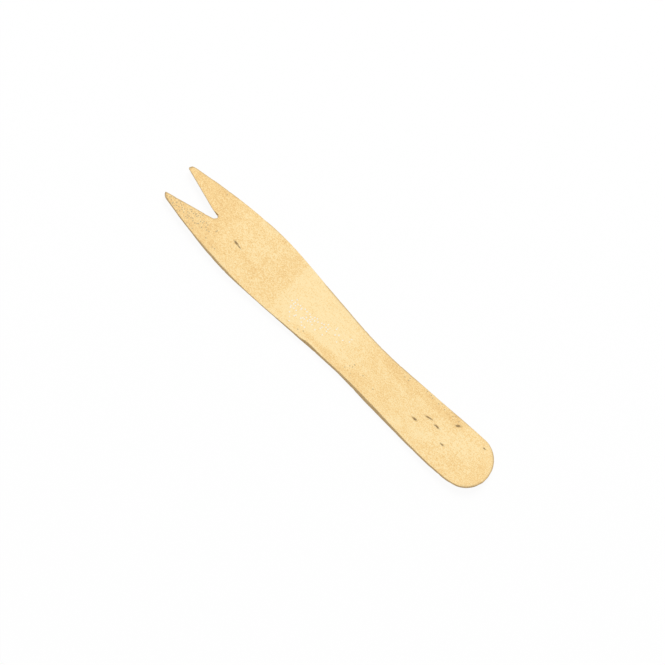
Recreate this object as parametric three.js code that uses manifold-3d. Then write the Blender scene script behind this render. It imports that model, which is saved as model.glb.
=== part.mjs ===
// A two-tine wooden chip fork, cut in one piece from thin birch veneer and slightly warped.
// Millimetres. X runs along the fork, from the tine tips (-X) to the round end of the handle (+X).
// Z is up, and the origin lies on the table under the middle of the fork.
// A station is a distance along the fork from the tine tips.

import * as THREE from "three";
import { mergeVertices, toCreasedNormals } from "three/addons/utils/BufferGeometryUtils.js";
import Module from "manifold-3d";

const wasm = await Module();
wasm.setup();

// Blank
const LENGTH = 85;
const THICKNESS = 1.2;

// Outline of the head, waist and handle
const HEAD_WIDTH = 13.5;
const HEAD_OFFSET = 0.12; // how far the head lies off the centre line, towards +Y
const HEAD_STATION = 22.5;
const WAIST_WIDTH = 9.65;
const WAIST_STATION = 52.5;
const HANDLE_WIDTH = 11.65;
const HANDLE_OFFSET = 0.32; // how far the handle's widest place lies off the centre line, towards +Y
const END_RUN_NEAR = 10.5; // from the handle's widest place on the -Y side to its end
const END_RUN_FAR = 5.5; // the same on the +Y side: the round end is cut slightly askew
const NOSE_OFFSET = 0.45; // how far the end's furthest point lies off the centre line
const NEAR_END_FULLNESS = 0.66; // length of the end curve's handles, as a share of its run
const FAR_END_FULLNESS = 0.52;
const EDGE_REACH = 0.35; // the same share for the long curves of both edges

// Tines
const TIP_SPAN = 8.5; // over the outer corners of the two tips
const TIP_SLANT = 0.3; // how far the outer corner stands back from the inner one
const TIP_ROUND = 0.28; // how much of each corner is worn round
const TIP_ROUND_SHARE = 0.45; // the most of a tip's end that one of its two corners may take
const TINE_FLARE_DEG = 9.5; // angle between a tine's outer edge and the fork, at the tip
const NOTCH_MOUTH = 7.1; // width of the notch between the inner corners of the tips
const NOTCH_OFFSET = -0.1; // how far the notch lies off the centre line, towards -Y
const NOTCH_DEPTH = 11.05;
const NOTCH_RADIUS = 0.6;

// Warp: the shaft lies flat on the table, and both ends lift off it
const FLAT_START = 33; // stations between which the shaft lies flat
const FLAT_END = 64;
const HEAD_RISE_RUN = 18; // length over which the head lifts
const HEAD_LIFT = 0.5;
const END_LIFT = 0.9;

// Fineness of the facets
const EDGE_STEP = 0.8; // along the long curves of the outline
const CORNER_STEP = 0.1; // along the small rounds at the tips and in the notch
const CORNER_LENGTH = 1.5; // a curve shorter than this is stepped as a corner
const WARP_STEP = 1.5; // along the lifted ends of the side view
const OVERRUN = 2; // how far the side view and the outline run past each other before they are cut
const WELD_DISTANCE = 0.001;
const CREASE_DEG = 35; // faces that meet at more than this show an edge

// The notch on one side, from its bottom to the inner corner of the tip.
// The wall is the straight line that touches the round bottom and meets that corner.
function notchWall(side) {
  const corner = new THREE.Vector2(0, NOTCH_OFFSET + (side * NOTCH_MOUTH) / 2);
  const centre = new THREE.Vector2(NOTCH_DEPTH - NOTCH_RADIUS, NOTCH_OFFSET);
  const toCentre = centre.clone().sub(corner);
  const wallLength = Math.sqrt(toCentre.lengthSq() - NOTCH_RADIUS ** 2);
  const lean = Math.asin(NOTCH_RADIUS / toCentre.length());
  const direction = toCentre.normalize().rotateAround(new THREE.Vector2(), side * lean);
  const foot = corner.clone().addScaledVector(direction, wallLength);
  return { corner, centre, direction, foot, footAngle: foot.clone().sub(centre).angle() };
}

// The tip of one tine: its inner corner, its slanting end and its outer corner, both worn round.
function tineTip(side) {
  const { corner: inner, direction: wall } = notchWall(side);
  const outer = new THREE.Vector2(TIP_SLANT, (side * TIP_SPAN) / 2);
  const flare = THREE.MathUtils.degToRad(TINE_FLARE_DEG);
  const edge = new THREE.Vector2(Math.cos(flare), side * Math.sin(flare));
  const slope = outer.clone().sub(inner);
  const round = Math.min(TIP_ROUND, slope.length() * TIP_ROUND_SHARE);
  slope.normalize();
  return {
    inner,
    outer,
    edge,
    wallPoint: inner.clone().addScaledVector(wall, round),
    innerPoint: inner.clone().addScaledVector(slope, round),
    outerPoint: outer.clone().addScaledVector(slope, -round),
    edgePoint: outer.clone().addScaledVector(edge, round),
  };
}

// An edge between two stations, level with the fork's axis at both.
function levelCurve(path, fromX, fromY, toX, toY) {
  const reach = (toX - fromX) * EDGE_REACH;
  path.bezierCurveTo(fromX + reach, fromY, toX - reach, toY, toX, toY);
}

// The outline, round the -Y side from the notch to the handle's end and back along the +Y side.
function forkOutline() {
  const near = tineTip(-1);
  const far = tineTip(1);
  const nearWall = notchWall(-1);
  const farWall = notchWall(1);
  const headNearY = HEAD_OFFSET - HEAD_WIDTH / 2;
  const headFarY = HEAD_OFFSET + HEAD_WIDTH / 2;
  const waistY = WAIST_WIDTH / 2;
  const nearY = HANDLE_OFFSET - HANDLE_WIDTH / 2;
  const farY = HANDLE_OFFSET + HANDLE_WIDTH / 2;
  const nearX = LENGTH - END_RUN_NEAR;
  const farX = LENGTH - END_RUN_FAR;
  const path = new THREE.Path();

  path.moveTo(nearWall.foot.x, nearWall.foot.y);
  path.lineTo(near.wallPoint.x, near.wallPoint.y);
  path.quadraticCurveTo(near.inner.x, near.inner.y, near.innerPoint.x, near.innerPoint.y);
  path.lineTo(near.outerPoint.x, near.outerPoint.y);
  path.quadraticCurveTo(near.outer.x, near.outer.y, near.edgePoint.x, near.edgePoint.y);

  const reach = (HEAD_STATION - near.edgePoint.x) * EDGE_REACH;
  const nearPull = near.edgePoint.clone().addScaledVector(near.edge, reach);
  path.bezierCurveTo(
    nearPull.x, nearPull.y, HEAD_STATION - reach, headNearY, HEAD_STATION, headNearY,
  );
  levelCurve(path, HEAD_STATION, headNearY, WAIST_STATION, -waistY);
  levelCurve(path, WAIST_STATION, -waistY, nearX, nearY);

  const nearDrop = (NOSE_OFFSET - nearY) * NEAR_END_FULLNESS;
  const nearReach = END_RUN_NEAR * NEAR_END_FULLNESS;
  path.bezierCurveTo(nearX + nearReach, nearY, LENGTH, NOSE_OFFSET - nearDrop, LENGTH, NOSE_OFFSET);
  const farDrop = (farY - NOSE_OFFSET) * FAR_END_FULLNESS;
  const farReach = END_RUN_FAR * FAR_END_FULLNESS;
  path.bezierCurveTo(LENGTH, NOSE_OFFSET + farDrop, farX + farReach, farY, farX, farY);

  levelCurve(path, farX, farY, WAIST_STATION, waistY);
  levelCurve(path, WAIST_STATION, waistY, HEAD_STATION, headFarY);
  const farPull = far.edgePoint.clone().addScaledVector(far.edge, reach);
  path.bezierCurveTo(
    HEAD_STATION - reach, headFarY, farPull.x, farPull.y, far.edgePoint.x, far.edgePoint.y,
  );

  path.quadraticCurveTo(far.outer.x, far.outer.y, far.outerPoint.x, far.outerPoint.y);
  path.lineTo(far.innerPoint.x, far.innerPoint.y);
  path.quadraticCurveTo(far.inner.x, far.inner.y, far.wallPoint.x, far.wallPoint.y);
  path.lineTo(farWall.foot.x, farWall.foot.y);
  path.absarc(
    farWall.centre.x, farWall.centre.y, NOTCH_RADIUS, farWall.footAngle, nearWall.footAngle, true,
  );
  return path;
}

// The outline as points, closer together on the small rounds than on the long curves.
function outlinePoints(path) {
  return path.curves.flatMap((curve) => {
    const length = curve.getLength();
    const step = length < CORNER_LENGTH ? CORNER_STEP : EDGE_STEP;
    const count = Math.max(1, Math.ceil(length / step));
    return curve.getSpacedPoints(count).slice(1);
  });
}

// How far the warp lifts the fork off the table at a station.
function liftAt(station) {
  const head = THREE.MathUtils.smoothstep(FLAT_START - station, 0, HEAD_RISE_RUN);
  const end = Math.max(0, (station - FLAT_END) / (LENGTH - FLAT_END));
  return HEAD_LIFT * head + END_LIFT * end ** 2;
}

// The stations at which the side view bends, none of them in the flat stretch of the shaft.
function warpStations() {
  const stations = [];
  const headSteps = Math.ceil((FLAT_START + OVERRUN) / WARP_STEP);
  for (let i = 0; i <= headSteps; i++) {
    stations.push(THREE.MathUtils.lerp(-OVERRUN, FLAT_START, i / headSteps));
  }
  const endSteps = Math.ceil((LENGTH + OVERRUN - FLAT_END) / WARP_STEP);
  for (let i = 0; i <= endSteps; i++) {
    stations.push(THREE.MathUtils.lerp(FLAT_END, LENGTH + OVERRUN, i / endSteps));
  }
  return stations;
}

// The side view: a strip of veneer of even thickness that follows the warp.
function sideView() {
  const stations = warpStations();
  const under = stations.map((station) => new THREE.Vector2(station, liftAt(station)));
  const upper = under.map((point) => new THREE.Vector2(point.x, point.y + THICKNESS)).reverse();
  return new THREE.Shape([...under, ...upper]);
}

function solidOf(geometry) {
  const bare = geometry.clone();
  bare.deleteAttribute("normal");
  bare.deleteAttribute("uv");
  const welded = mergeVertices(bare, WELD_DISTANCE);
  const vertProperties = welded.getAttribute("position").array;
  const triVerts = new Uint32Array(welded.index.array);
  return new wasm.Manifold(new wasm.Mesh({ numProp: 3, vertProperties, triVerts }));
}

function geometryOf(solid) {
  const { vertProperties, triVerts } = solid.getMesh();
  return new THREE.BufferGeometry()
    .setAttribute("position", new THREE.BufferAttribute(vertProperties, 3))
    .setIndex(new THREE.BufferAttribute(triVerts, 1));
}

// The warped sheet, from one side of the fork to the other.
function sheetGeometry() {
  const headSpan = HEAD_WIDTH + 2 * Math.abs(HEAD_OFFSET);
  const handleSpan = HANDLE_WIDTH + 2 * Math.abs(HANDLE_OFFSET);
  const width = Math.max(headSpan, handleSpan) + 2 * OVERRUN;
  return new THREE.ExtrudeGeometry(sideView(), { depth: width, bevelEnabled: false })
    .rotateX(Math.PI / 2)
    .translate(0, width / 2, 0);
}

// What the cutting die takes out of the sheet: the outline, straight up and down.
function punchGeometry() {
  const height = THICKNESS + Math.max(HEAD_LIFT, END_LIFT) + 2 * OVERRUN;
  const outline = new THREE.Shape(outlinePoints(forkOutline()));
  return new THREE.ExtrudeGeometry(outline, { depth: height, bevelEnabled: false })
    .translate(0, 0, -OVERRUN);
}

function forkGeometry() {
  const fork = solidOf(sheetGeometry()).intersect(solidOf(punchGeometry()));
  const geometry = geometryOf(fork);
  geometry.computeBoundingBox();
  const box = geometry.boundingBox;
  geometry.translate(-(box.min.x + box.max.x) / 2, -(box.min.y + box.max.y) / 2, -box.min.z);
  return toCreasedNormals(geometry, THREE.MathUtils.degToRad(CREASE_DEG));
}

const birch = new THREE.MeshStandardMaterial({ color: 0xf9d99b, roughness: 0.72, metalness: 0 });

const fork = new THREE.Mesh(forkGeometry(), birch);
fork.name = "chip_fork";

const part = new THREE.Group();
part.add(fork);

export default part;
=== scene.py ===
"""The looks of a two-tine chip fork of thin birch veneer, in a plain pale studio.

The fork's form comes from the frame's one node. Its outline and its side view are read back, and a
fine mesh is built on them. That mesh gets the lean, wear and torn fibres of a real cut, and the relief,
grain, flecks and specks of sliced wood. Shapes are worked out in millimetres, with X along the fork and
the grain, and go to metres at the end.
"""

import math

import bpy
import numpy as np
from mathutils import Matrix, Vector
from mathutils.geometry import delaunay_2d_cdt


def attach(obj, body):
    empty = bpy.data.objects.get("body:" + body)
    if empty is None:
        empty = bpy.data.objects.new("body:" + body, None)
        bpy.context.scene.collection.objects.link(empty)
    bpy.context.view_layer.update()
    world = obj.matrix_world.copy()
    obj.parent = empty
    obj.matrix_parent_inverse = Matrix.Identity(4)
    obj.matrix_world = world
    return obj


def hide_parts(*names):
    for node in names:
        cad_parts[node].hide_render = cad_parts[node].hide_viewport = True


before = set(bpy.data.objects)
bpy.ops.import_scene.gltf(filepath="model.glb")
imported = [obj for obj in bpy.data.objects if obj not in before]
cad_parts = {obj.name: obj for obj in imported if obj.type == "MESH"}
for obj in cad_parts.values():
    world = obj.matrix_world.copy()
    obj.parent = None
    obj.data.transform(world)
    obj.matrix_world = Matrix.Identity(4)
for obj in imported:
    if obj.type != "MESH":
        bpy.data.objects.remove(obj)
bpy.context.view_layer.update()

NODE = "chip_fork"
MM = 0.001

# The photograph's view
PHOTO_SIZE = 665
PIXELS_PER_MM = 5.057
CENTRE_PIXEL = (330.6, 330.6)
VIEW_TILT_DEG = 17.5
VIEW_ROLL_DEG = 44.6
VIEW_DISTANCE = 365.0
SENSOR_MM = 36.0
CLIP_METRES = (0.01, 10.0)

# The studio, in metres: an even white world, one soft lamp and a white floor just under the fork
WORLD_LEVEL = 0.55
KEY_PLACE = (-0.45, 0.65, 1.0)
KEY_SIZE = 0.7
KEY_POWER = 9.8
FLOOR_GLOW = 0.93
FLOOR_ROUGHNESS = 0.9
FLOOR_HALF = 3.0
FLOOR_DROP = 0.00002

# The sheet and its mesh: lengths in millimetres, with counts of steps and rows, and shares
THICKNESS = 1.2
OUTLINE_STEP = 0.16
FINE_STEP = OUTLINE_STEP / 4
OUTLINE_BLUR = 0.35
CORNER_BLUR = 0.06
CORNER_GAP = 0.03
CORNER_SHARE = 0.05
TIP_REACH = 2.0
FACING_UP = 0.5
SIDE_VIEW_REACH = 60.0
SIDE_VIEW_STEP = 0.1
SIDE_VIEW_BLUR_STEPS = 31
TOP_ROUND = 0.1
FOOT_ROUND = 0.06
ROUND_STEPS = 4
WALL_ROWS = 10
BORDER = 0.2
GRAIN_STEP = (0.3, 0.155)
FILL_CLEARANCE = BORDER + GRAIN_STEP[1] * 0.7
MERGE_GAP = 1e-6

NOISE_VALUES = 65536
NOISE_PRIMES = (73856093, 19349663, 83492791)


def smooth_step(low, high, value):
    """0 at low, 1 at high and past it, and a smooth rise between. Low may be the larger of the two."""
    t = np.clip((value - low) / (high - low), 0.0, 1.0)
    return t * t * (3.0 - 2.0 * t)


def lattice_noise(points, cell, seed):
    """Smooth noise from -1 to 1, from a random value at each corner of a lattice of such cells."""
    table = np.random.default_rng(seed).uniform(-1.0, 1.0, NOISE_VALUES)
    at = points / np.array(cell)
    base = np.floor(at).astype(np.int64)
    t = at - base
    t = t * t * (3.0 - 2.0 * t)
    total = np.zeros(len(points))
    for corner in np.ndindex(2, 2, 2):
        key = (base + corner) @ np.array(NOISE_PRIMES)
        weight = np.prod(np.where(np.array(corner), t, 1.0 - t), axis=1)
        total += weight * table[key % len(table)]
    return total


def layered_noise(points, layers, base=0.0):
    """A base with several noises added to it, each given as its amount, its cell and its seed."""
    return sum((amount * lattice_noise(points, cell, seed) for amount, cell, seed in layers), base)


def profile(points, at):
    """The height over `at` of a line through points given as pairs."""
    known_at, known = np.array(points).T
    return np.interp(at, known_at, known)


# The frame's solid, read back as an outline and a side view


def solid_arrays(mesh):
    """The solid's merged points in millimetres, its triangles, and how far each one faces up."""
    mesh.calc_loop_triangles()
    points = np.empty(len(mesh.vertices) * 3)
    mesh.vertices.foreach_get("co", points)
    corners = np.empty(len(mesh.loop_triangles) * 3, np.int32)
    mesh.loop_triangles.foreach_get("vertices", corners)
    points, merged = np.unique(np.round(points.reshape(-1, 3) / MM, 4), axis=0, return_inverse=True)
    triangles = merged.ravel()[corners].reshape(-1, 3)
    a, b, c = (points[triangles[:, k]] for k in range(3))
    normals = np.cross(b - a, c - a)
    return points, triangles, normals[:, 2] / np.linalg.norm(normals, axis=1)


def upper_border(mesh):
    """The closed line where the upper face meets the cut edge, seen from above, counterclockwise."""
    points, triangles, rise = solid_arrays(mesh)
    edges = np.concatenate([triangles[:, (0, 1)], triangles[:, (1, 2)], triangles[:, (2, 0)]])
    rise = np.tile(rise, 3)
    walls = {(b, a) for a, b in edges[np.abs(rise) < FACING_UP].tolist()}
    after = {a: b for a, b in edges[rise > FACING_UP].tolist() if (a, b) in walls}
    loop = [min(after)]
    while after[loop[-1]] != loop[0]:
        loop.append(after[loop[-1]])
    return points[loop][:, :2]


def walk(loop, step):
    """Points at even steps along a closed line."""
    closed = np.vstack([loop, loop[:1]])
    reach = np.concatenate([[0.0], np.cumsum(np.linalg.norm(np.diff(closed, axis=0), axis=1))])
    count = int(round(reach[-1] / step))
    at = np.linspace(0.0, reach[-1], count, endpoint=False)
    return np.stack([np.interp(at, reach, closed[:, k]) for k in range(2)], axis=1)


def blur_loop(loop, step, width):
    """A closed line with its corners eased over this width."""
    count = len(loop)
    away = np.minimum(np.arange(count), count - np.arange(count)) * step
    kernel = np.exp(-0.5 * (away / width) ** 2)
    spectrum = np.fft.fft(kernel / kernel.sum())[:, None]
    return np.fft.ifft(np.fft.fft(loop, axis=0) * spectrum, axis=0).real


def fine_outline(mesh):
    """The outline as close even points, its facets eased but its tips and its notch kept sharp."""
    loop = walk(upper_border(mesh), FINE_STEP)
    eased = blur_loop(loop, FINE_STEP, OUTLINE_BLUR)
    crisp = blur_loop(loop, FINE_STEP, CORNER_BLUR)
    corner = np.linalg.norm(eased - loop, axis=1) > CORNER_GAP
    near = blur_loop(corner.astype(float)[:, None], FINE_STEP, TIP_REACH / 2)
    keep = smooth_step(0.0, CORNER_SHARE, near)
    return walk(eased + keep * (crisp - eased), OUTLINE_STEP)


def outward_of(loop):
    """The outward direction at each point of a counterclockwise line."""
    along = np.roll(loop, -1, axis=0) - np.roll(loop, 1, axis=0)
    along /= np.linalg.norm(along, axis=1, keepdims=True)
    return np.stack([along[:, 1], -along[:, 0]], axis=1)


def from_outline(places, loop, outward):
    """How far inside the outline each place lies, and the outward direction at its nearest point."""
    inside = np.empty(len(places))
    nearest = np.empty(len(places), np.int64)
    places_at_a_time = 2000
    for chunk in np.array_split(np.arange(len(places)), max(1, len(places) // places_at_a_time)):
        gap = places[chunk, None, :] - loop[None]
        distance = (gap**2).sum(axis=2)
        nearest[chunk] = distance.argmin(axis=1)
        rows = np.arange(len(chunk))
        side = (gap[rows, nearest[chunk]] * outward[nearest[chunk]]).sum(axis=1)
        inside[chunk] = -np.sign(side) * np.sqrt(distance[rows, nearest[chunk]])
    return inside, outward[nearest]


def underside_lift(mesh):
    """How high the underside lies at each X, as a smooth line."""
    points, triangles, rise = solid_arrays(mesh)
    under = np.unique(triangles[rise < -FACING_UP])
    order = under[np.argsort(points[under, 0])]
    fine_x = np.arange(-SIDE_VIEW_REACH, SIDE_VIEW_REACH, SIDE_VIEW_STEP)
    fine_z = np.interp(fine_x, points[order, 0], points[order, 2])
    kernel = np.hanning(SIDE_VIEW_BLUR_STEPS)
    padded = np.pad(fine_z, SIDE_VIEW_BLUR_STEPS // 2, mode="edge")
    return fine_x, np.convolve(padded, kernel / kernel.sum(), mode="valid")


# The fine mesh


def section_rings():
    """How far each ring of points lies inside, and its height, from the upper face to the underside."""
    turn = np.linspace(math.pi / 2, 0.0, ROUND_STEPS)
    top = TOP_ROUND / THICKNESS
    foot = FOOT_ROUND / THICKNESS
    rings = [(BORDER, 1.0)]
    rings += [(TOP_ROUND * (1 - math.cos(a)), 1 - top * (1 - math.sin(a))) for a in turn]
    rings += [(0.0, h) for h in np.linspace(1 - top, foot, WALL_ROWS + 1)[1:-1]]
    rings += [(FOOT_ROUND * (1 - math.cos(a)), foot * (1 - math.sin(a))) for a in turn[::-1]]
    rings += [(BORDER, 0.0)]
    return rings


def fill_points(loop, outward):
    """Staggered rows of points over the face, clear of its border."""
    low, high = loop.min(axis=0), loop.max(axis=0)
    step_x, step_y = GRAIN_STEP
    columns = np.arange(low[0], high[0], step_x)
    rows = np.arange(low[1], high[1], step_y)
    x, y = np.meshgrid(columns, rows)
    x = x + (np.arange(len(rows)) % 2)[:, None] * step_x / 2
    places = np.stack([x.ravel(), y.ravel()], axis=1)
    inside, _ = from_outline(places, loop, outward)
    return places[inside > FILL_CLEARANCE]


def sheet_mesh(loop):
    """The plain sheet as one closed fine mesh.

    It gives the faces, and for each point its place, its height as a share of the thickness, how far
    inside the outline it lies, and the outward direction at the nearest point of the outline.
    """
    outward = outward_of(loop)
    count = len(loop)
    rings = section_rings()
    fill = fill_points(loop, outward)
    border = loop - outward * BORDER

    flat = [Vector(p) for p in np.vstack([border, fill])]
    edges = [(k, (k + 1) % count) for k in range(count)]
    found = delaunay_2d_cdt(flat, edges, [], 1, MERGE_GAP)
    assert len(found[0]) == len(flat)
    face = np.array(found[2])
    a, b, c = (np.array([tuple(v) for v in found[0]])[face[:, k]] for k in range(3))
    u, v = b - a, c - a
    turned = u[:, 0] * v[:, 1] - u[:, 1] * v[:, 0] < 0
    face[turned] = face[turned][:, ::-1]

    inset = np.array([r[0] for r in rings])
    height = np.array([r[1] for r in rings])
    ring_places = (loop[None] - outward[None] * inset[:, None, None]).reshape(-1, 2)
    ring_out = np.tile(outward, (len(rings), 1))
    fill_inside, fill_out = from_outline(fill, loop, outward)
    places = np.vstack([ring_places, fill, fill])
    heights = np.concatenate([np.repeat(height, count), np.ones(len(fill)), np.zeros(len(fill))])
    inside = np.concatenate([np.repeat(inset, count), fill_inside, fill_inside])
    out = np.vstack([ring_out, fill_out, fill_out])

    last_ring = (len(rings) - 1) * count
    upper = np.where(face < count, face, face + last_ring)
    lower = np.where(face < count, face + last_ring, face + last_ring + len(fill))[:, ::-1]
    k = np.arange(count)
    after = (k + 1) % count
    walls = [
        np.stack([start + after, start + k, start + count + k, start + count + after], axis=1)
        for start in range(0, last_ring, count)
    ]
    faces = np.vstack(walls).tolist() + upper.tolist() + lower.tolist()
    return faces, places, heights, inside, out


# The cut edge, as pairs of X and a distance. NEAR is the -Y side and FAR the +Y side.
# LEAN is how far the foot of the edge stands out from its head.
# DRIFT is how far the whole edge stands off its line.
NEAR_LEAN = (
    (-42.0, -0.22),
    (-33.0, -0.18),
    (-26.0, 0.06),
    (-21.0, -0.02),
    (-19.5, -0.13),
    (-18.0, -0.2),
    (-14.0, -0.29),
    (-9.0, -0.22),
    (-6.0, -0.11),
    (-4.4, -0.10),
    (-2.9, -0.06),
    (-2.0, 0.21),
    (-0.5, 0.20),
    (1.2, 0.06),
    (3.0, 0.0),
    (5.2, 0.0),
    (6.8, -0.04),
    (9.9, 0.13),
    (12.0, 0.19),
    (17.0, 0.22),
    (22.0, 0.09),
    (28.0, -0.06),
    (37.0, -0.11),
)
NEAR_DRIFT = (
    (-42.0, 0.18),
    (-38.0, 0.17),
    (-31.0, 0.12),
    (-27.0, 0.0),
    (-24.0, 0.0),
    (-17.0, -0.04),
    (-13.0, -0.05),
    (-9.0, -0.06),
    (-5.5, -0.07),
    (-4.4, -0.03),
    (-2.9, -0.02),
    (-2.0, -0.29),
    (-0.5, -0.24),
    (1.2, -0.06),
    (3.0, 0.03),
    (6.8, 0.11),
    (9.0, 0.09),
    (14.5, 0.15),
    (17.0, 0.07),
    (24.0, 0.10),
    (29.0, 0.06),
    (34.0, 0.02),
    (37.0, 0.15),
    (39.0, 0.18),
    (40.3, 0.06),
    (41.5, -0.06),
)
FAR_DRIFT = (
    (-42.0, -0.12),
    (-39.0, -0.09),
    (-36.6, -0.03),
    (-33.5, -0.06),
    (-28.7, -0.1),
    (-25.5, -0.11),
    (-22.0, 0.0),
    (-18.0, 0.07),
    (-14.5, 0.07),
    (-11.0, 0.03),
    (-6.0, 0.04),
    (0.0, 0.14),
    (5.0, 0.09),
    (10.0, 0.03),
    (13.8, -0.01),
    (19.0, 0.05),
    (26.0, -0.05),
    (33.0, -0.03),
    (38.0, 0.04),
)
# The same for the handle's end, as pairs of Y and a distance
END_DRIFT = (
    (-5.0, 0.06),
    (-4.0, 0.02),
    (-3.0, -0.03),
    (-2.2, -0.14),
    (-1.2, -0.18),
    (-0.4, -0.04),
    (0.6, -0.04),
    (1.6, -0.09),
    (2.4, -0.04),
    (3.8, -0.02),
)
END_LEAN = 0.12
# How much more the handle's end fills its two corners
END_SQUARENESS = 0.14
# On the notch's +Y wall it is the head that stands out from the foot, and less so at the notch's bottom
NOTCH_LEAN = 0.37
NOTCH_BOTTOM_LEAN = 0.08
# How far the notch is cut back at its bottom's +Y corner, and worn back along its -Y wall
NOTCH_CORNER_CUT = 0.17
LOWER_NOTCH_WEAR = 0.05
# How far inside the outline all of this is felt
EDGE_REACH = 0.5

# Where each of these starts and where it is whole. FACING is a share of the outward direction.
SIDE_FACING = (0.2, 0.8)
SIDE_Y = (1.0, 3.0)
END_X = (30.0, 38.0)
END_CORNER_X = (34.0, 38.0)
NOTCH_FACING = (0.3, 0.8)
NOTCH_X = (-25.0, -28.0)
NOTCH_LEAN_X = (-32.1, -33.0)
UPPER_NOTCH_Y = (-0.7, 0.2)
LOWER_NOTCH_Y = (-0.7, -1.2)
NOTCH_CORNER_FACING = (0.3, 0.9)
NOTCH_CORNER_X = (-33.6, -32.6)
NOTCH_CORNER_Y = (1.6, 1.0)


def edge_shift(x, y, height, out):
    """How far the cut edge stands off the plain outline, for each side of the fork."""
    out_x, out_y = out.T
    foot = 1.0 - height
    near = smooth_step(*SIDE_FACING, -out_y) * smooth_step(*SIDE_Y, -y)
    shift = near * (profile(NEAR_LEAN, x) * foot + profile(NEAR_DRIFT, x))
    far = smooth_step(*SIDE_FACING, out_y) * smooth_step(*SIDE_Y, y)
    shift += far * profile(FAR_DRIFT, x)

    notch = smooth_step(*NOTCH_X, x)
    upper_notch = smooth_step(*NOTCH_FACING, -out_y) * smooth_step(*UPPER_NOTCH_Y, y) * notch
    more_lean = (NOTCH_LEAN - NOTCH_BOTTOM_LEAN) * smooth_step(*NOTCH_LEAN_X, x)
    shift += upper_notch * (NOTCH_BOTTOM_LEAN + more_lean) * height
    notch_corner = smooth_step(*NOTCH_CORNER_FACING, 2.0 * out_x * out_y)
    notch_corner *= smooth_step(*NOTCH_CORNER_Y, np.abs(y))
    shift -= NOTCH_CORNER_CUT * notch_corner * smooth_step(*NOTCH_CORNER_X, x) * notch
    lower_notch = smooth_step(*NOTCH_FACING, out_y) * smooth_step(*LOWER_NOTCH_Y, y) * notch
    shift -= LOWER_NOTCH_WEAR * lower_notch

    end = smooth_step(*SIDE_FACING, out_x) * smooth_step(*END_X, x)
    end_corner = 2.0 * np.abs(out_x * out_y) * smooth_step(*END_CORNER_X, x)
    shift += end * (END_LEAN * foot + profile(END_DRIFT, y)) + END_SQUARENESS * end_corner
    return shift, near


# Each tine's tip, worn back along X: its side, how much it is shorter, how much more at its outer
# corner, and that corner's distance from the middle
TIP_WEAR = (
    (1.0, 0.0, 0.3, 3.95),
    (-1.0, 0.12, 0.34, 4.05),
)
TIP_WEAR_X = (-41.0, -42.5)
TIP_CORNER_HALF = 0.3


def worn_tips(x, y):
    """How far each place is worn back along X."""
    worn = np.zeros(len(x))
    for side, short, corner, corner_at in TIP_WEAR:
        outer = smooth_step(corner_at - TIP_CORNER_HALF, corner_at + TIP_CORNER_HALF, side * y)
        worn += (side * y > 0.0) * (short + corner * outer)
    return worn * smooth_step(*TIP_WEAR_X, x)


# The cut edge's roughness, as noises given by cell and seed, with the amount before them where there are
# several. HEIGHT is a share of the thickness, and the layers show more below TORN_HEIGHT.
WAVER = ((0.018, (2.6, 2.6, 9.0), 11), (0.012, (0.9, 0.9, 0.5), 12))
LAYERS = ((1.8, 0.6, 0.16), 13)
LAYER_DEPTH, TORN_LAYER_DEPTH = 0.006, 0.016
TORN_HEIGHT = (0.75, 0.35)
SPLINTERS = ((0.45, 0.45, 0.5), 14)
SPLINTER_DEPTH = 0.14
SPLINTER_HEIGHT = (0.4, 0.9)
SPLINTERS_AT, SPLINTERS_REACH = -2.4, 1.2
NICKS = ((0.7, 0.7, 0.6), 15)
NICK_DEPTH = 0.05
NICK_RANGE = (0.45, 0.85)
ROUGHNESS_REACH = 0.3

# The raised fibres on both faces, and how far inside the outline they start and are whole
FIBRES = ((0.005, (6.0, 0.42, 9.0), 21), (0.004, (2.2, 0.31, 9.0), 22), (0.004, (1.3, 0.9, 9.0), 23))
FIBRES_INSIDE = (0.05, 0.3)


def edge_roughness(place, x, height, near):
    """The waver, layers, splinters and nicks of the cut edge."""
    torn = smooth_step(*TORN_HEIGHT, height)
    layers = (LAYER_DEPTH + TORN_LAYER_DEPTH * torn) * lattice_noise(place, *LAYERS)
    broken = near * np.exp(-(((x - SPLINTERS_AT) / SPLINTERS_REACH) ** 2))
    splinters = SPLINTER_DEPTH * broken * smooth_step(*SPLINTER_HEIGHT, height)
    splinters *= lattice_noise(place, *SPLINTERS)
    nicks = NICK_DEPTH * smooth_step(*NICK_RANGE, lattice_noise(place, *NICKS))
    return layered_noise(place, WAVER) + layers + splinters - nicks


def shaped(x, y, height, inside, out, lift):
    """Every point's place in the real sheet, rough at its edges and with fibres on both faces."""
    place = np.stack([x, y, height * THICKNESS], axis=1)
    side, near = edge_shift(x, y, height, out)
    shift = side * np.exp(-inside / EDGE_REACH)
    shift += edge_roughness(place, x, height, near) * np.exp(-inside / ROUGHNESS_REACH)

    outward_up = np.where(height > 0.5, 1.0, -1.0)
    fibres = layered_noise(place, FIBRES) * smooth_step(*FIBRES_INSIDE, inside) * outward_up

    z = lift + height * THICKNESS + fibres
    worn_x = x + worn_tips(x, y)
    return np.stack([worn_x + shift * out[:, 0], y + shift * out[:, 1], np.maximum(z, 0.0)], axis=1)


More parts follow.
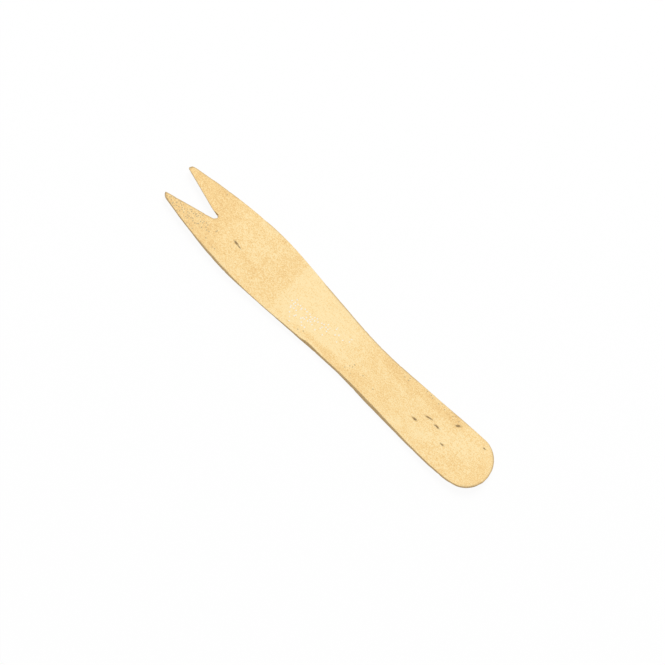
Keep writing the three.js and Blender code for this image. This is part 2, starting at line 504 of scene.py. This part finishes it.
# How plainly each side's upper corner shows a darker line, as pairs of X and a share
NEAR_DARK_RIM = (
    (-41.0, 1.2),
    (-38.5, 0.1),
    (-33.0, 0.1),
    (-30.5, 0.5),
    (-23.0, 0.6),
    (-21.0, 0.0),
)
FAR_DARK_RIM = (
    (-42.0, 1.2),
    (-32.0, 1.1),
    (-30.0, 0.4),
    (-25.0, 0.3),
    (-23.5, 0.7),
    (-20.0, 0.6),
    (-18.0, 0.0),
    (-8.0, 0.0),
    (-6.4, 1.35),
    (10.0, 1.4),
    (18.5, 1.3),
    (20.5, 0.35),
    (27.0, 0.35),
    (28.5, 1.0),
    (32.5, 0.9),
    (34.0, 0.25),
    (38.0, 0.25),
    (39.5, 1.0),
)
# How far each of these lines reaches inside the outline, how plain it is where that isn't 1, and where
# it starts and is whole
SIDE_LINE = 0.17
FAR_LINE_FACING = (-0.2, 0.3)
LINE_FACING = (0.2, 0.6)
NEAR_LINE_Y = -2.0
END_LINE = 0.21
END_LINE_X = (38.0, 39.5)
END_LINE_FACING = (0.3, 0.7)
TIP_LINE, TIP_PLAIN = 0.3, 1.3
TIP_LINE_X = (-40.4, -41.2)
NOTCH_LINE, NOTCH_PLAIN = 0.15, 0.6
NOTCH_LINE_X = (-25.0, -30.0)
# The notch's line is broken into dashes by a noise, given by cell and seed
NOTCH_DASHES = ((0.9, 0.9, 1.0), 35)
DASH_RANGE = (0.0, 0.35)


def dark_rim_line(x, y, inside, out):
    """How plainly the upper corner shows a darker line at each place: 0 off the line."""
    out_x, out_y = out.T
    far = profile(FAR_DARK_RIM, x) * smooth_step(*FAR_LINE_FACING, out_y)
    near = profile(NEAR_DARK_RIM, x) * smooth_step(*LINE_FACING, -out_y) * (y < NEAR_LINE_Y)
    end = smooth_step(*END_LINE_X, x) * smooth_step(*END_LINE_FACING, out_x)
    tip = smooth_step(*TIP_LINE_X, x) * smooth_step(*LINE_FACING, -out_x)
    flat = np.stack([x, y, np.zeros(len(x))], axis=1)
    dashes = smooth_step(*DASH_RANGE, lattice_noise(flat, *NOTCH_DASHES))
    notch = smooth_step(*NOTCH_LINE_X, x) * smooth_step(*LINE_FACING, -np.sign(y) * out_y)
    lines = (
        far * np.exp(-((inside / SIDE_LINE) ** 2)),
        near * np.exp(-((inside / SIDE_LINE) ** 2)),
        end * np.exp(-((inside / END_LINE) ** 2)),
        TIP_PLAIN * tip * np.exp(-((inside / TIP_LINE) ** 4)),
        NOTCH_PLAIN * dashes * notch * np.exp(-((inside / NOTCH_LINE) ** 2)),
    )
    return np.maximum.reduce(lines)


# The upper face's broad light and dark patches, as soft oval patches. They are partly the wood's own
# figure and partly painted sheen and painted shade where the face tilts.
# X, Y, half length, half width, turn in degrees, tone
FIGURE_AND_SHADING = (
    (-37.0, -4.4, 5.0, 1.6, 9, -0.5),
    (-41.6, 3.7, 1.2, 0.9, 0, -0.7),
    (-33.5, 4.2, 3.4, 1.2, 0, -0.6),
    (-38.5, -3.4, 3.5, 1.0, 8, 0.2),
    (-30.5, 2.4, 2.0, 1.6, 0, -0.3),
    (-28.5, -4.6, 5.0, 1.5, -4, -0.7),
    (-23.5, 5.8, 3.0, 0.6, 0, 0.6),
    (-21.8, -1.9, 3.4, 0.9, -14, -0.9),
    (-20.5, 2.4, 2.4, 1.8, 0, 0.3),
    (-14.5, 3.2, 2.4, 2.8, 0, -0.6),
    (-15.0, -1.8, 2.4, 1.8, 0, -0.3),
    (-3.0, -0.8, 8.5, 3.8, 0, 0.1),
    (-5.2, 1.2, 1.8, 0.9, 0, -0.7),
    (-3.0, 4.4, 3.4, 0.8, 0, -0.6),
    (-9.0, -5.5, 3.0, 0.8, -3, -0.7),
    (1.6, -4.4, 6.0, 1.0, 4, -2.5),
    (10.0, -4.4, 5.0, 0.9, 0, -1.2),
    (14.6, 3.4, 3.6, 1.6, 0, -1.5),
    (19.5, 3.8, 2.6, 0.7, 0, -0.8),
    (16.6, 1.5, 3.4, 0.5, 0, 1.0),
    (11.0, -2.7, 2.6, 1.3, 0, -0.6),
    (17.0, -1.6, 2.2, 2.8, 0, -0.7),
    (20.0, 0.3, 1.2, 0.9, 0, -0.6),
    (23.6, -3.0, 3.6, 1.8, 6, 0.6),
    (22.1, -4.4, 2.0, 1.0, 0, 0.9),
    (28.5, -1.6, 3.0, 1.0, 12, 0.6),
    (26.0, 4.1, 4.5, 1.0, 3, -1.1),
    (30.5, 4.6, 2.6, 1.2, 0, -1.1),
    (30.0, 5.3, 1.6, 0.5, 0, -0.8),
    (27.5, -1.8, 3.4, 1.6, 10, 0.6),
    (34.2, 1.9, 5.8, 1.7, 22, 1.2),
    (36.5, -3.2, 5.0, 2.2, 5, -0.4),
    (40.8, -0.2, 1.4, 4.0, 0, -0.6),
)
# Where grey specks lie on the upper face, in the same form, with the share of specks last
SPECKED = (
    (-38.6, -3.9, 4.2, 1.6, 8, 0.95),
    (-33.6, -3.3, 3.2, 2.2, 0, 0.45),
    (-27.5, -5.0, 1.6, 0.8, 0, 0.25),
    (-33.4, 4.4, 0.9, 0.3, -10, 0.9),
    (-4.2, -4.5, 1.6, 0.5, 0, 0.3),
    (9.0, -2.8, 3.5, 1.0, 0, 0.1),
    (17.2, 3.9, 0.9, 0.6, 0, 0.7),
    (27.0, 4.9, 3.6, 0.6, 3, 0.25),
)
# The same for small pale specks
PALE_SPECKED = (
    (-6.0, -1.9, 3.6, 2.0, 0, 0.65),
    (-0.9, -0.6, 4.6, 1.2, 17, 0.35),
)
# The tone away from the patches: a painted sheen, bright from a short step across the head on, and
# painted shade, duller on the tines
MAIN_TONE = -0.3
BRIGHT_TONE = 1.6
BRIGHT_START_X = (-12.3, -11.5)
BRIGHT_END_X = (12.0, 0.0)
BRIGHT_START_WAVER = 0.4
TINES_DULLER = 1.0
TINES_X = (-27.0, -30.5)
# How the borders of the figure and of its painted sheen and shade waver along X and Y, as noises given
# by amount, cell and seed
WAVE_X = ((1.0, (2.5, 1.6, 1.0), 31), (0.4, (1.1, 0.8, 1.0), 32))
WAVE_Y = ((0.6, (3.0, 1.2, 1.0), 33), (0.25, (1.2, 0.6, 1.0), 34))

# The height, as a share of the thickness, at which the upper face's look starts and is whole, and how
# far inside the outline the cut edge's look ends and is whole
TOP_HEIGHT = (0.6, 0.95)
CUT_INSIDE = (0.09, 0.02)


def patches(x, y, table):
    """The sum of a table's soft oval patches at each place."""
    total = np.zeros(len(x))
    for at_x, at_y, half_length, half_width, turn, amount in table:
        c, s = math.cos(math.radians(turn)), math.sin(math.radians(turn))
        u = ((x - at_x) * c + (y - at_y) * s) / half_length
        v = ((y - at_y) * c - (x - at_x) * s) / half_width
        total += amount * np.exp(-((u**2 + v**2) ** 1.5))
    return total


def figure_and_shading_tone(x, y):
    """The tone of the figure, with its painted sheen and shade, at each place: 0 is the wood's main
    colour, and 1 and -1 are a step from it.
    """
    flat = np.stack([x, y, np.zeros(len(x))], axis=1)
    wave_x = layered_noise(flat, WAVE_X, x)
    wave_y = layered_noise(flat, WAVE_Y, y)
    start_x = (1.0 - BRIGHT_START_WAVER) * x + BRIGHT_START_WAVER * wave_x
    bright = smooth_step(*BRIGHT_START_X, start_x) * smooth_step(*BRIGHT_END_X, wave_x)
    # The bright band is painted sheen and the tines' dulling is painted shade
    tone = MAIN_TONE + BRIGHT_TONE * bright - TINES_DULLER * smooth_step(*TINES_X, wave_x)
    return tone + patches(wave_x, wave_y, FIGURE_AND_SHADING)


def make_fork(cad):
    """The fork's fine mesh, with what its material needs to know stored at each point."""
    loop = fine_outline(cad)
    faces, places, height, inside, out = sheet_mesh(loop)
    x, y = places.T
    lift = np.interp(x, *underside_lift(cad))
    points = shaped(x, y, height, inside, out, lift)
    mesh = bpy.data.meshes.new("fork_wood")
    mesh.from_pydata((points * MM).tolist(), [], faces)
    mesh.shade_smooth()
    top = smooth_step(*TOP_HEIGHT, height)
    stored = {
        "top": top,
        "cut": smooth_step(*CUT_INSIDE, inside),
        "dark_rim": dark_rim_line(x, y, inside, out) * top,
        # The figure tone holds painted sheen and painted shade as well as the wood's own figure
        "figure_and_shading": figure_and_shading_tone(x, y) * top,
        "specked": patches(x, y, SPECKED) * top,
        "pale_specked": patches(x, y, PALE_SPECKED) * top,
    }
    for name, values in stored.items():
        attribute = mesh.attributes.new(name, "FLOAT", "POINT")
        attribute.data.foreach_set("value", values.astype(np.float32))
    mesh.update()
    assert not mesh.validate()
    piece = bpy.data.objects.new("fork_wood", mesh)
    bpy.context.scene.collection.objects.link(piece)
    return piece


# Materials


def linear(red, green, blue, alpha=1.0):
    """A colour given as it shows on screen, from 0 to 255, as the shader's own numbers."""
    parts = [c / 255.0 for c in (red, green, blue)]
    return (*[c / 12.92 if c <= 0.04045 else ((c + 0.055) / 1.055) ** 2.4 for c in parts], alpha)


SPECULAR = 0.3


def new_material(name, colour, roughness):
    material = bpy.data.materials.new(name)
    material.use_nodes = True
    shader = material.node_tree.nodes["Principled BSDF"]
    shader.inputs["Base Color"].default_value = colour
    shader.inputs["Roughness"].default_value = roughness
    shader.inputs["Specular IOR Level"].default_value = SPECULAR
    return material


# How far the dots stand off their cells' middles, and their soft border as shares of their radius
DOT_SCATTER = 0.8
DOT_BORDER = (1.3, 0.7)


class Nodes:
    """Short calls for the shader nodes of one material, with lengths in millimetres."""

    def __init__(self, tree):
        self.tree = tree
        local = tree.nodes.new("ShaderNodeTexCoord").outputs["Object"]
        self.place = self.vector("MULTIPLY", local, (1 / MM, 1 / MM, 1 / MM))

    def feed(self, socket, value):
        if isinstance(value, bpy.types.NodeSocket):
            self.tree.links.new(value, socket)
        else:
            socket.default_value = value

    def vector(self, operation, *values):
        node = self.tree.nodes.new("ShaderNodeVectorMath")
        node.operation = operation
        for socket, value in zip(node.inputs, values):
            self.feed(socket, value)
        return node.outputs["Value" if operation == "LENGTH" else "Vector"]

    def math(self, operation, *values):
        node = self.tree.nodes.new("ShaderNodeMath")
        node.operation = operation
        for socket, value in zip(node.inputs, values):
            self.feed(socket, value)
        return node.outputs[0]

    def total(self, *values):
        result = values[0]
        for value in values[1:]:
            result = self.math("ADD", result, value)
        return result

    def stored(self, name):
        node = self.tree.nodes.new("ShaderNodeAttribute")
        node.attribute_name = name
        return node.outputs["Fac"]

    def noise(self, place, cell, gain=1.0, shift=0.0, detail=2.0):
        """Noise around zero, with features about as large as the cell, times a gain."""
        node = self.tree.nodes.new("ShaderNodeTexNoise")
        scaled = self.vector("DIVIDE", place, cell)
        self.feed(node.inputs["Vector"], self.vector("ADD", scaled, (shift, shift, shift)))
        node.inputs["Scale"].default_value = 1.0
        node.inputs["Detail"].default_value = detail
        return self.math("MULTIPLY", self.math("SUBTRACT", node.outputs["Fac"], 0.5), gain)

    def dots(self, place, cell, radius, share, shift):
        """1 on small round dots, one at most to each cell, on this share of the cells."""
        node = self.tree.nodes.new("ShaderNodeTexVoronoi")
        node.voronoi_dimensions = "2D"
        scaled = self.vector("DIVIDE", place, (cell, cell, cell))
        self.feed(node.inputs["Vector"], self.vector("ADD", scaled, (shift, shift, shift)))
        node.inputs["Scale"].default_value = 1.0
        node.inputs["Randomness"].default_value = DOT_SCATTER
        outer, inner = (edge * radius / cell for edge in DOT_BORDER)
        round_dot = self.step(node.outputs["Distance"], outer, inner)
        parts = self.tree.nodes.new("ShaderNodeSeparateColor")
        self.feed(parts.inputs["Color"], node.outputs["Color"])
        return self.math("MULTIPLY", round_dot, self.math("LESS_THAN", parts.outputs[0], share))

    def step(self, value, low, high, to_high=1.0):
        """0 at low, to_high at high and past it, and a smooth rise between them."""
        node = self.tree.nodes.new("ShaderNodeMapRange")
        node.interpolation_type = "SMOOTHSTEP"
        names = ("Value", "From Min", "From Max", "To Min", "To Max")
        for name, number in zip(names, (value, low, high, 0.0, to_high)):
            self.feed(node.inputs[name], number)
        return node.outputs["Result"]

    def mix(self, share, first, second):
        node = self.tree.nodes.new("ShaderNodeMix")
        node.data_type = "RGBA"
        self.feed(node.inputs["Factor"], share)
        self.feed(node.inputs["A"], first)
        self.feed(node.inputs["B"], second)
        return node.outputs["Result"]

    def ramp(self, value, stops):
        """Colours over a value, given as pairs of the value and its colour, the lowest first."""
        low, high = stops[0][0], stops[-1][0]
        node = self.tree.nodes.new("ShaderNodeValToRGB")
        points = node.color_ramp.elements
        while len(points) < len(stops):
            points.new(0.5)
        for point, (at, colour) in zip(points, stops):
            point.position = (at - low) / (high - low)
            point.color = colour
        share = self.math("DIVIDE", self.math("SUBTRACT", value, low), high - low)
        self.feed(node.inputs["Fac"], share)
        return node.outputs["Color"]


# Tones of the bare wood, each with the colour that it shows
TONES = (
    (-3.6, linear(234, 193, 128)),
    (-2.6, linear(245, 208, 143)),
    (-1.1, linear(247, 211, 146)),
    (-0.35, linear(252, 219, 157)),
    (0.2, linear(253, 222, 161)),
    (0.85, linear(254, 228, 173)),
    (2.8, linear(254, 230, 176)),
)

# Brown pith flecks on the upper face: X, Y, half length, half width, turn in degrees
FLECKS = (
    (-25.35, -1.14, 0.58, 0.24, -8),
    (-24.5, -1.26, 0.62, 0.12, -6),
    (24.0, -1.0, 0.60, 0.23, 4),
    (25.9, 1.24, 0.95, 0.17, 14),
    (28.3, 1.06, 0.62, 0.21, 0),
    (31.3, 4.3, 0.60, 0.25, 38),
    (31.4, -0.86, 0.50, 0.18, 10),
    (38.1, 4.6, 0.32, 0.16, 0),
)
# Each fleck's solid core and its soft rim: where it starts and is whole, 1 being the fleck's own border,
# and how plain it is
FLECK_CORE = (1.2, 0.45, 0.8)
FLECK_RIM = (1.9, 0.9, 0.2)
NO_FLECK = 10.0

# Specks on the upper face: where their share is stored, their cells' size, their radius, what sets one
# kind's cells apart from the other's, and their colour
SPECKS = (
    ("specked", 0.54, 0.13, 71.0, linear(196, 174, 131)),
    ("pale_specked", 0.6, 0.14, 83.0, linear(246, 243, 233)),
)

# The cut edge's tones, from dark layers to light ones: the cut wood is browner, and darker still as
# painted shade
EDGE_TONES_AND_SHADE = (
    (-1.5, linear(176, 144, 96)),
    (-0.4, linear(201, 170, 119)),
    (0.5, linear(217, 187, 136)),
    (1.5, linear(235, 207, 156)),
)
MAIN_WOOD = linear(252, 220, 161)
FLECK_BROWN, FLECK_COVER = linear(140, 114, 74), 0.95
DARK_RIM_BROWN, DARK_RIM_COVER = linear(176, 147, 102), 0.8

# How far apart in the noise the two faces' slices lie
FACE_SLICE = 37.0
# Where in their own noise the pores start and are whole, and the tone that they add
PORE_RANGE = (-0.13, -0.24)
PORE_TONE = -1.4

WOOD_ROUGHNESS = 0.64
FIBRE_ROUGHNESS = 0.08
CUT_ROUGHNESS = 0.12

# The finest relief, as the bump's depth in millimetres and each part's share of it
BUMP_DEPTH = 0.009
FIBRE_RELIEF = 0.35
MOTTLE_RELIEF = 0.12
PORE_RELIEF = -0.8
CUT_RELIEF = 0.5


def fleck_mask(nodes):
    """1 in the middle of a fleck and 0 off the flecks, with ragged edges along the grain."""
    ragged = nodes.total(
        nodes.noise(nodes.place, (0.5, 0.16, 1.0), gain=0.9),
        nodes.noise(nodes.place, (0.45, 0.055, 1.0), gain=1.3, shift=7.0, detail=1.0),
    )
    nearest = NO_FLECK
    for x, y, half_length, half_width, turn in FLECKS:
        mapping = nodes.tree.nodes.new("ShaderNodeMapping")
        mapping.vector_type = "TEXTURE"
        nodes.feed(mapping.inputs["Vector"], nodes.vector("MULTIPLY", nodes.place, (1.0, 1.0, 0.0)))
        mapping.inputs["Location"].default_value = (x, y, 0.0)
        mapping.inputs["Rotation"].default_value = (0.0, 0.0, math.radians(turn))
        mapping.inputs["Scale"].default_value = (half_length, half_width, 1.0)
        nearest = nodes.math("MINIMUM", nodes.vector("LENGTH", mapping.outputs[0]), nearest)
    reach = nodes.math("ADD", nearest, ragged)
    return nodes.total(nodes.step(reach, *FLECK_CORE), nodes.step(reach, *FLECK_RIM))


def birch_material():
    """Bare sliced birch, with its figure carrying painted sheen and shade, fibres, pores, flecks and
    specks, and a browner cut edge darkened further as painted shade.
    """
    material = new_material("birch_veneer", MAIN_WOOD, WOOD_ROUGHNESS)
    shader = material.node_tree.nodes["Principled BSDF"]
    nodes = Nodes(material.node_tree)
    place = nodes.place
    top, cut = nodes.stored("top"), nodes.stored("cut")

    # Fibres run along X with a slight wander, and each face shows its own slice of the wood
    wander = nodes.noise(place, (16.0, 7.0, 40.0), gain=1.2, shift=3.0, detail=0.0)
    offset = nodes.tree.nodes.new("ShaderNodeCombineXYZ")
    nodes.feed(offset.inputs["Y"], wander)
    nodes.feed(offset.inputs["Z"], nodes.math("MULTIPLY", top, FACE_SLICE))
    grain = nodes.vector("ADD", place, offset.outputs[0])

    clouds = nodes.noise(grain, (3.4, 1.7, 9.0), gain=2.4, shift=11.0, detail=1.0)
    mottle = nodes.noise(grain, (0.8, 0.66, 3.0), gain=2.6, shift=23.0, detail=2.0)
    speckle = nodes.noise(grain, (0.22, 0.2, 1.0), gain=9.2, shift=29.0, detail=0.0)
    streaks = nodes.noise(grain, (9.0, 0.5, 3.0), shift=31.0, detail=1.0)
    fibres = nodes.noise(grain, (2.2, 0.13, 1.0), gain=1.3, shift=41.0, detail=1.0)
    pores = nodes.step(nodes.noise(grain, (0.8, 0.085, 0.5), shift=53.0, detail=0.0), *PORE_RANGE)
    darker = nodes.math("MULTIPLY", pores, PORE_TONE)
    # The stored figure tone brings painted sheen and painted shade along with the wood's figure
    tone = nodes.total(nodes.stored("figure_and_shading"), clouds, mottle, speckle, streaks, fibres, darker)
    wood = nodes.ramp(tone, TONES)

    flecks = nodes.math("MULTIPLY", fleck_mask(nodes), top)
    wood = nodes.mix(nodes.math("MULTIPLY", flecks, FLECK_COVER), wood, FLECK_BROWN)
    for name, cell, radius, shift, colour in SPECKS:
        wood = nodes.mix(nodes.dots(place, cell, radius, nodes.stored(name), shift), wood, colour)
    dark_rim = nodes.math("MULTIPLY", nodes.stored("dark_rim"), DARK_RIM_COVER)
    wood = nodes.mix(dark_rim, wood, DARK_RIM_BROWN)

    # The cut edge is browner and darkened further as painted shade, with the sheet's layers as streaks
    layers = nodes.noise(place, (1.7, 0.5, 0.13), gain=3.0, shift=61.0, detail=2.0)
    drag = nodes.noise(place, (0.14, 0.14, 1.5), gain=1.2, shift=67.0, detail=1.0)
    edge_tone = nodes.total(layers, drag)
    colour = nodes.mix(cut, wood, nodes.ramp(edge_tone, EDGE_TONES_AND_SHADE))
    nodes.feed(shader.inputs["Base Color"], colour)

    rough = nodes.total(
        WOOD_ROUGHNESS,
        nodes.math("MULTIPLY", fibres, FIBRE_ROUGHNESS),
        nodes.math("MULTIPLY", cut, CUT_ROUGHNESS),
    )
    nodes.feed(shader.inputs["Roughness"], rough)

    relief = nodes.total(
        nodes.math("MULTIPLY", fibres, FIBRE_RELIEF),
        nodes.math("MULTIPLY", mottle, MOTTLE_RELIEF),
        nodes.math("MULTIPLY", pores, PORE_RELIEF),
        nodes.math("MULTIPLY", nodes.math("MULTIPLY", edge_tone, cut), CUT_RELIEF),
    )
    bump = nodes.tree.nodes.new("ShaderNodeBump")
    nodes.feed(bump.inputs["Height"], relief)
    bump.inputs["Distance"].default_value = BUMP_DEPTH * MM
    bump.inputs["Strength"].default_value = 1.0
    nodes.feed(shader.inputs["Normal"], bump.outputs["Normal"])
    return material


# Stage


def seen_share(tree):
    """1 for what is seen, also mirrored or through glass, and 0 for light that falls on the fork."""
    path = tree.nodes.new("ShaderNodeLightPath")
    share = path.outputs["Is Camera Ray"]
    for name in ("Is Glossy Ray", "Is Transmission Ray"):
        node = tree.nodes.new("ShaderNodeMath")
        node.operation = "MAXIMUM"
        tree.links.new(share, node.inputs[0])
        tree.links.new(path.outputs[name], node.inputs[1])
        share = node.outputs[0]
    return share


def floor_material():
    """White paper that shows a soft share of the shadows on it."""
    material = new_material("floor", linear(250, 250, 250), FLOOR_ROUGHNESS)
    tree = material.node_tree
    shader = tree.nodes["Principled BSDF"]
    glow = tree.nodes.new("ShaderNodeEmission")
    glow.inputs["Color"].default_value = (1.0, 1.0, 1.0, 1.0)
    mixer = tree.nodes.new("ShaderNodeMixShader")
    share = tree.nodes.new("ShaderNodeMath")
    share.operation = "MULTIPLY"
    share.inputs[1].default_value = FLOOR_GLOW
    tree.links.new(seen_share(tree), share.inputs[0])
    tree.links.new(share.outputs[0], mixer.inputs["Fac"])
    tree.links.new(shader.outputs[0], mixer.inputs[1])
    tree.links.new(glow.outputs[0], mixer.inputs[2])
    tree.links.new(mixer.outputs[0], tree.nodes["Material Output"].inputs["Surface"])
    return material


def add_floor():
    mesh = bpy.data.meshes.new("floor")
    half = FLOOR_HALF
    corners = [(-half, -half, 0), (half, -half, 0), (half, half, 0), (-half, half, 0)]
    mesh.from_pydata(corners, [], [(0, 1, 2, 3)])
    floor = bpy.data.objects.new("floor", mesh)
    bpy.context.scene.collection.objects.link(floor)
    floor.location.z = -FLOOR_DROP
    mesh.materials.append(floor_material())


def add_area(name, place, size, power):
    lamp = bpy.data.lights.new(name, "AREA")
    lamp.shape = "DISK"
    lamp.size = size
    lamp.energy = power
    holder = bpy.data.objects.new(name, lamp)
    bpy.context.scene.collection.objects.link(holder)
    holder.location = place
    holder.rotation_euler = (-Vector(place)).to_track_quat("-Z", "Y").to_euler()


def add_world(strength):
    world = bpy.data.worlds.new("studio")
    bpy.context.scene.world = world
    world.use_nodes = True
    tree = world.node_tree
    background = tree.nodes["Background"]
    background.inputs["Color"].default_value = (1.0, 1.0, 1.0, 1.0)
    level = tree.nodes.new("ShaderNodeMapRange")
    level.inputs["To Min"].default_value = strength
    level.inputs["To Max"].default_value = 1.0
    tree.links.new(seen_share(tree), level.inputs["Value"])
    tree.links.new(level.outputs["Result"], background.inputs["Strength"])


def add_camera():
    """The photograph's camera: nearly overhead, a little to the fork's -Y side, and rolled."""
    tilt, roll = math.radians(VIEW_TILT_DEG), math.radians(VIEW_ROLL_DEG)
    out = Vector((0.0, -math.sin(tilt), math.cos(tilt)))
    across, up = Vector((1.0, 0.0, 0.0)), Vector((0.0, math.cos(tilt), math.sin(tilt)))
    right = across * math.cos(roll) + up * math.sin(roll)
    top = up * math.cos(roll) - across * math.sin(roll)
    middle = PHOTO_SIZE / 2
    aim = Vector((0.0, 0.0, THICKNESS / 2))
    aim -= right * ((CENTRE_PIXEL[0] - middle) / PIXELS_PER_MM)
    aim += top * ((CENTRE_PIXEL[1] - middle) / PIXELS_PER_MM)
    camera = bpy.data.cameras.new("camera")
    camera.sensor_width = SENSOR_MM
    camera.lens = SENSOR_MM * VIEW_DISTANCE * PIXELS_PER_MM / PHOTO_SIZE
    camera.clip_start, camera.clip_end = CLIP_METRES
    holder = bpy.data.objects.new("camera", camera)
    bpy.context.scene.collection.objects.link(holder)
    turn = Matrix((right, top, out)).transposed()
    holder.matrix_world = Matrix.Translation((aim + out * VIEW_DISTANCE) * MM) @ turn.to_4x4()
    bpy.context.scene.camera = holder


def main():
    add_camera()
    fork = make_fork(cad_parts[NODE].data)
    fork.data.materials.append(birch_material())
    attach(fork, "root")
    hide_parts(NODE)

    add_floor()
    add_world(WORLD_LEVEL)
    add_area("key", KEY_PLACE, KEY_SIZE, KEY_POWER)
    bpy.context.scene.view_settings.view_transform = "Standard"


main()
